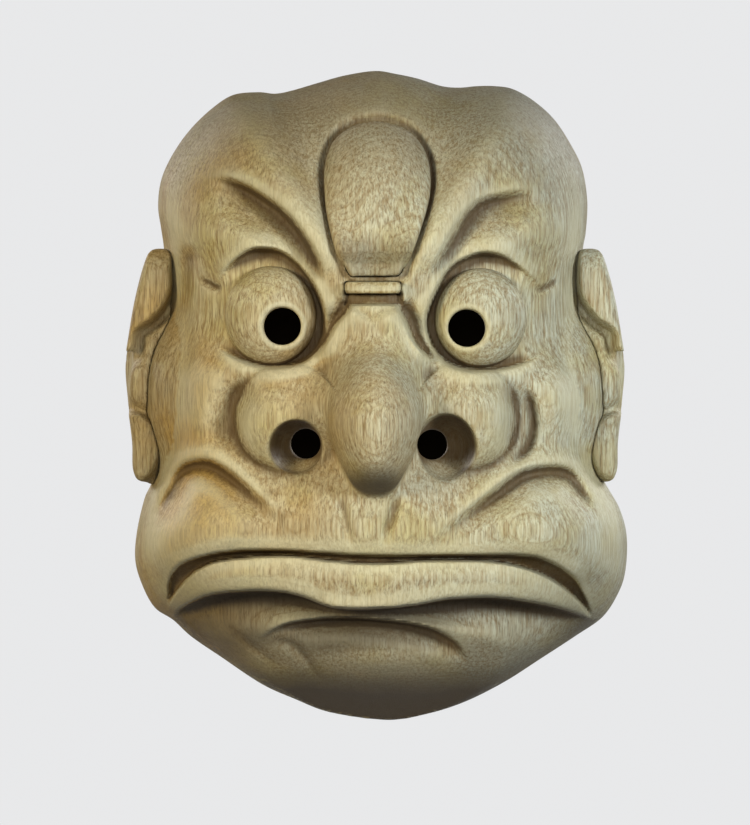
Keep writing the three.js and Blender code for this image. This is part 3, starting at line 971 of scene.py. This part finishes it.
# Lights: name, place, size, watts and colour.
LIGHTS = [
    ("left", (-1.15, -1.35, 0.27), 0.40, 19.3, (1.0, 0.88, 0.60)),
    ("right", (1.15, -1.35, 0.27), 0.40, 23, (0.93, 0.98, 1.0)),
    ("front", (0.0, -1.9, 0.30), 0.30, 9, (1.0, 0.99, 0.96)),
    ("back", (1.0, 0.95, 0.6), 0.5, 14, (1.0, 1.0, 1.0)),
    ("back_left", (-1.0, 0.95, 0.6), 0.5, 14, (1.0, 1.0, 1.0)),
]


def place_camera():
    """A long lens straight in front of the mask."""
    camera = bpy.data.cameras.new("camera")
    camera.sensor_width = SENSOR
    camera.lens = SENSOR * VIEW_DISTANCE / (VIEW_WIDTH * PORTRAIT)
    obj = bpy.data.objects.new("camera", camera)
    obj.location = (0, -VIEW_DISTANCE, VIEW_HEIGHT)
    obj.rotation_euler = (math.pi / 2, 0, 0)
    bpy.context.scene.collection.objects.link(obj)
    bpy.context.scene.camera = obj


def area_light(name, place, size, watts, colour):
    """A soft box that points at the middle of the mask."""
    light = bpy.data.lights.new(name, "AREA")
    light.size = size
    light.energy = watts
    light.color = colour
    obj = bpy.data.objects.new(name, light)
    obj.location = place
    away = obj.location.normalized()
    obj.rotation_euler = away.to_track_quat("Z", "Y").to_euler()
    bpy.context.scene.collection.objects.link(obj)


def pale_room():
    """A pale grey room that lights the object less than it shows."""
    world = bpy.data.worlds.new("pale_room")
    bpy.context.scene.world = world
    world.use_nodes = True
    tree = world.node_tree
    background = tree.nodes["Background"]
    background.inputs["Color"].default_value = (*ROOM_COLOUR, 1)
    seen = add(tree, "ShaderNodeLightPath").outputs["Is Camera Ray"]
    strength = scaled(tree, seen, ROOM_SEEN - ROOM_LIGHT, ROOM_LIGHT)
    tree.links.new(strength, background.inputs["Strength"])


def one_sided(name, colour):
    """A matt surface that isn't there when it is seen from behind."""
    material, tree, _ = nodes_for(name)
    matt = add(tree, "ShaderNodeBsdfDiffuse", Color=(*colour, 1))
    clear = add(tree, "ShaderNodeBsdfTransparent")
    mix = add(tree, "ShaderNodeMixShader")
    behind = add(tree, "ShaderNodeNewGeometry").outputs["Backfacing"]
    tree.links.new(behind, mix.inputs[0])
    tree.links.new(matt.outputs[0], mix.inputs[1])
    tree.links.new(clear.outputs[0], mix.inputs[2])
    tree.links.new(mix.outputs[0], tree.nodes["Material Output"].inputs["Surface"])
    return material


def sheet_of_stage(name, corners, colour):
    """A flat stage piece with these corners, anticlockwise from the side that shows."""
    mesh = bpy.data.meshes.new(name)
    mesh.from_pydata(corners, [], [tuple(range(len(corners)))])
    mesh.materials.append(one_sided(name, colour))
    obj = bpy.data.objects.new(name, mesh)
    obj.visible_diffuse = False
    bpy.context.scene.collection.objects.link(obj)
    return obj


def pale_floor():
    """A plain round floor well below the object."""
    turns = np.linspace(0, 2 * math.pi, 96, endpoint=False)
    rim = [(FLOOR_RADIUS * math.cos(t), FLOOR_RADIUS * math.sin(t), FLOOR_HEIGHT) for t in turns]
    sheet_of_stage("floor", rim, FLOOR_GREY)


def shade_card():
    """A black card in the back of the mask, painted shade seen only from in front, through the holes.
    """
    turns = np.linspace(0, 2 * math.pi, 64, endpoint=False)
    half_x, half_z, depth = CARD
    rim = [(half_x * math.cos(t) * MM, -depth * MM, half_z * math.sin(t) * MM) for t in turns]
    card = sheet_of_stage("shade_card", rim, CARD_BLACK)
    card.visible_glossy = False
    card.visible_transmission = False
    card.visible_shadow = False


place_camera()
pale_room()
pale_floor()
for light in LIGHTS:
    area_light(*light)
shade_card()
bpy.context.scene.view_settings.view_transform = "Standard"


# ---- the pieces ----
def carved_relief():
    """How far the carved front, with its tool marks, stands off the plain dome."""
    stand_off = (carved - dome) * (1 - np.clip(outline_share, 0, 1) ** 12)
    stand_off += gouged(*FRONT_GOUGE)
    chin = join(dome + stand_off, chin_slope() + 2.0, 3.0)
    stand_off += under_lip * (chin - dome - stand_off)
    z, half_z, deep = BAND_NOTCH
    notch = smooth(1.0, -0.3, np.abs(X - BAND[0]) - BAND_HALF[0])
    notch = notch * smooth(0.5, -0.5, np.abs(Z - z) - half_z)
    stand_off -= deep * notch
    deep, half_width = BOSS_GROOVE
    stand_off -= deep * np.exp(-((np.clip(boss_inside, -12, 12) / half_width) ** 2))
    return stand_off


def hollow_shift():
    """What is added to a plain round hollow: a pocket for the nose, gouge marks, and spare wood where
    the carved front comes close."""
    *oval_sizes, deep = NOSE_POCKET
    pocket = deep * np.exp(-oval(*oval_sizes))
    limit = softened(lowest_near(front_depth, 5.0), 2.5) - WALL_LEAST
    too_deep = np.maximum(0, plain_hollow + pocket - limit) * (inner_share < 1)
    return pocket + gouged(*HOLLOW_GOUGE) - softened(too_deep, 2.0)


outline_share = rim_share(OUTLINE, MIDDLE)
inner_share = rim_share(OUTLINE, MIDDLE, HOLLOW_WALL)
dome = DOME_DEPTH * (1 - np.clip(outline_share, 0, 1) ** DOME_ROUND[0]) ** (1 / DOME_ROUND[1])
boss_share = rim_share(BOSS, BOSS_MIDDLE)
boss_inside = inside(BOSS, 12)
under_lip = smooth(0.6, -0.6, follow(LIP_FOOT, 60)[0])
brow_shade = under_brows()
carved = carved_depth(dome)
relief = carved_relief()
front_depth = dome + relief
# How far the front lies below what is round it, which later darkens each crease with grime and painted
# shade.
crease_depth = softened(front_depth, 2.2) - front_depth
inner_round = 1 - np.clip(inner_share, 0, 1) ** HOLLOW_ROUND[0]
plain_hollow = HOLLOW_DEPTH * inner_round ** (1 / HOLLOW_ROUND[1])
hollow_floor = hollow_shift()
hollow_depth = plain_hollow + hollow_floor


def nose_tip():
    """The round tip of the nose, cut off flat underneath."""
    up = Z[NOSE_PART[:2]][..., None] - NOSE_CUT[0]
    out = DEPTH[NOSE_PART[2]] - NOSE_CUT[1]
    under = NOSE_CUT_FACES[0] * up + NOSE_CUT_FACES[1] * out
    return cut(ball(NOSE_PART, NOSE_BALL, NOSE_BALL_HALF, NOSE_PINCH), -under, 5.0)


def block_field():
    """The solid head before it is hollowed and pierced."""
    field = mound(WHOLE, outline_share, relief, DOME_DEPTH, DOME_ROUND)
    softness = 3 + 10 * smooth(-6, 14, Z[NOSE_PART[:2]] - NOSE_BALL[1])[..., None]
    field[NOSE_PART] = join(field[NOSE_PART], nose_tip(), softness)
    reach_x, reach_z = CHEEK_REACH
    for side in (-1, 1):
        x, z, depth = CHEEK_BALL
        x *= side
        part = window((x - reach_x, z - reach_z, -2), (x + reach_x, z + reach_z, 50))
        field[part] = join(field[part], ball(part, (x, z, depth), CHEEK_BALL_HALF), 5.0)
    return field


block = block_field()
hollow = mound(WHOLE, inner_share, hollow_floor, HOLLOW_DEPTH, HOLLOW_ROUND)


def shell_field():
    """The block with every hollow, hole and seat cut out of it, and flat at the rim."""
    field = cut(block, hollow, 0.8)
    for (x, z), half, hole in NOSTRILS:
        cup = ball(NOSE_PART, (x, z, CUP_DEPTH), half)
        field[NOSE_PART] = cut(field[NOSE_PART], cup, 1.2)
        field[NOSE_PART] = cut(field[NOSE_PART], tube(NOSE_PART, *hole, NOSTRIL_RADIUS), 0.8)
    for x, z in EYES:
        socket = (np.sqrt(oval(x, z, *EYE_HALF)) - 1) * EYE_HALF[0] + OVERLAP
        field = cut(field, socket[..., None], 0.3)
    boss_seat = np.maximum(OVERLAP - boss_inside[..., None], BOSS_SEAT - DEPTH)
    field = cut(field, boss_seat, 0.25)
    x, z = BAND
    seat_edge = np.maximum(np.abs(X - x) - BAND_HALF[0], np.abs(Z - z) - BAND_HALF[1]) - GAP
    field = cut(field, np.maximum(seat_edge[..., None], BAND_SEAT - DEPTH), 0.25)
    field = cut(field, cord_hole(WHOLE), 0.3)
    return cut(field, DEPTH, 0.8)


def boss_field(part):
    """The teardrop: a low crown that follows the carving, on a plug in its seat."""
    ix, iz, depths = part
    start, slope = BOSS_FOOT
    floor = (carved + 0.5)[ix, iz] - slope * np.maximum(0, start - Z[ix, iz])
    cap = mound(part, boss_share[ix, iz], floor, BOSS_CROWN, (2.0, 2.0))
    cap = np.maximum(cap, (front_depth[ix, iz] + GAP)[..., None] - DEPTH[depths])
    plug = (OVERLAP + GAP - boss_inside[ix, iz])[..., None]
    plug = np.maximum(plug, BOSS_SEAT + GAP - DEPTH[depths])
    plug = np.maximum(plug, DEPTH[depths] - (front_depth[ix, iz] + 2)[..., None])
    return np.minimum(cap, plug)


def band_field(part):
    """A short square bar let into the root of the nose, with its arrises taken off."""
    ix, iz, depths = part
    x, z = BAND
    sides = (np.abs(X[ix, iz] - x) - BAND_HALF[0])[..., None]
    ends = (np.abs(Z[ix, iz] - z) - BAND_HALF[1])[..., None]
    top = DEPTH[depths] - (carved[ix, iz] + BAND_PROUD)[..., None]
    field = cut(cut(top, -sides, 1.2), -ends, 1.2)
    return np.maximum(field, BAND_SEAT + GAP - DEPTH[depths])


def eye_field(part, middle, pupil):
    """An eyeball: a dome on a plug through the wall, with the pupil bored through both."""
    ix, iz, depths = part
    share = np.sqrt(oval(*middle, *EYE_HALF))[ix, iz]
    floor = np.full(share.shape, SOCKET_FLOOR, np.float32)
    cap = mound(part, share, floor, EYE_CROWN, (2.0, 2.0))
    cap = np.maximum(cap, SOCKET_FLOOR + GAP - DEPTH[depths])
    plug = ((share - 1) * EYE_HALF[0] + OVERLAP + GAP)[..., None]
    plug = np.maximum(plug, DEPTH[depths] - SOCKET_FLOOR - OVERLAP)
    field = cut(np.minimum(cap, plug), tube(part, *pupil, PUPIL_RADIUS), 1.6)
    return cut(field, hollow[part], 0.6)


def ear_profile(z, depth):
    """The side view of an ear, a rounded box."""
    u = (depth - EAR_SIDE_DEPTH[0]) / EAR_SIDE_DEPTH[1]
    v = ((z - EAR_SIDE_HEIGHT[0]) / EAR_SIDE_HEIGHT[1])[..., None]
    box = (np.abs(u) ** EAR_SIDE_ROUND + np.abs(v) ** EAR_SIDE_ROUND) ** (1 / EAR_SIDE_ROUND)
    return 12 * (box - 1)


def ear_field(part, side):
    """An ear let onto the flank: a flat panel over a scooped fold, and the lobe below it."""
    ix, iz, depths = part
    outline = inside([(side * x, z) for x, z in EAR_OUTLINE], 20)[ix, iz]
    panel = inside([(side * x, z) for x, z in EAR_PANEL], 30)[ix, iz]
    lobe = inside([(side * x, z) for x, z in EAR_LOBE], 30)[ix, iz]
    x, z = side * X[ix, iz], Z[ix, iz]
    front = EAR_FRONT + EAR_PANEL_RISE * smooth(-1.5, 1.2, panel)
    front += EAR_LOBE_RISE * smooth(-1.5, 1.5, lobe)
    rim_x, rim_z, half_x, half_z, rise = EAR_RIM
    front += rise * np.exp(-(((x - rim_x) / half_x) ** 2) - ((z - rim_z) / half_z) ** 2)
    for edge, (out, half_width, deep) in ((panel, PANEL_FOLD), (lobe, LOBE_FOLD)):
        front -= deep * np.exp(-(((edge + out) / half_width) ** 2)) * (edge < 0)
    slope_x, slope_z = np.gradient(front, PITCH)
    top = (DEPTH[depths] - front[..., None]) / np.sqrt(1 + slope_x**2 + slope_z**2)[..., None]
    field = cut(-outline[..., None], -top, 4.0)
    field = cut(field, DEPTH[depths] - EAR_BACK, 3.0)
    field = np.maximum(field, ear_profile(z, DEPTH[depths]))
    shell_x, shell_z, shell_depth = EAR_SHELL
    shell = ball(part, (side * shell_x, shell_z, shell_depth), EAR_SHELL_HALF)
    field = cut(field, shell, 1.5)
    field = cut(field, cord_hole(part), 0.3)
    return np.maximum(field, GAP - block[part])


def pad_field(part, x, z, half_x, half_z):
    """A thin pillow on the wall of the hollow, sewn round its edge."""
    ix, iz, depths = part
    across = np.abs((X[ix, iz] - x) / half_x)
    along = np.abs((Z[ix, iz] - z) / half_z)
    share = (across**3 + along**3) ** (1 / 3)
    wall = hollow_depth[ix, iz]
    height = PAD_THICKNESS * np.clip(1 - share**2.2, 0, 1) ** 0.45
    middle = wall - 0.4 - 0.5 * PAD_THICKNESS
    half = np.maximum(height * 0.5, 0.01)
    slope_x, slope_z = np.gradient(middle, PITCH)
    lean = np.sqrt(1 + slope_x**2 + slope_z**2)[..., None]
    flat = (np.abs(DEPTH[depths] - middle[..., None]) - half[..., None]) / lean
    rim = (share[..., None] - 1) * min(half_x, half_z)
    return np.maximum(flat, rim)


def pad_part(x, z, half_x, half_z):
    """The part of the lattice round a pad."""
    reach_x, reach_z = half_x + 4, half_z + 4
    return window((x - reach_x, z - reach_z, 10), (x + reach_x, z + reach_z, 60))


LEFT_EAR = window((-86, -40, -2), (-58, 56, 38))
RIGHT_EAR = window((58, -40, -2), (86, 56, 38))
LEFT_EYE = window((-52, 6, 20), (-15, 46, 66))
RIGHT_EYE = window((15, 6, 20), (52, 46, 66))
BOSS_PART = window((-20, 34, 46), (21, 92, 84))
BAND_PART = window((-12, 30, 54), (11, 39, 78))

wood = wood_material("carved_cypress")
cotton = cloth_material("pad_cotton")

piece("face_carving", shell_field(), WHOLE, "face_shell", wood)
piece("forehead_teardrop", boss_field(BOSS_PART), BOSS_PART, "forehead_boss", wood)
piece("bridge_bar", band_field(BAND_PART), BAND_PART, "bridge_band", wood)
for side, part, middle, pupil in zip(("left", "right"), (LEFT_EYE, RIGHT_EYE), EYES, PUPILS):
    field = eye_field(part, middle, pupil)
    piece(side + "_eye_dome", field, part, side + "_eyeball", wood)
for side, part, sign in (("left", LEFT_EAR, -1), ("right", RIGHT_EAR, 1)):
    piece(side + "_ear_carving", ear_field(part, sign), part, side + "_ear", wood)
for name, place in PADS.items():
    part = pad_part(*place)
    pad = piece(name + "_cushion", pad_field(part, *place), part, name, cotton)
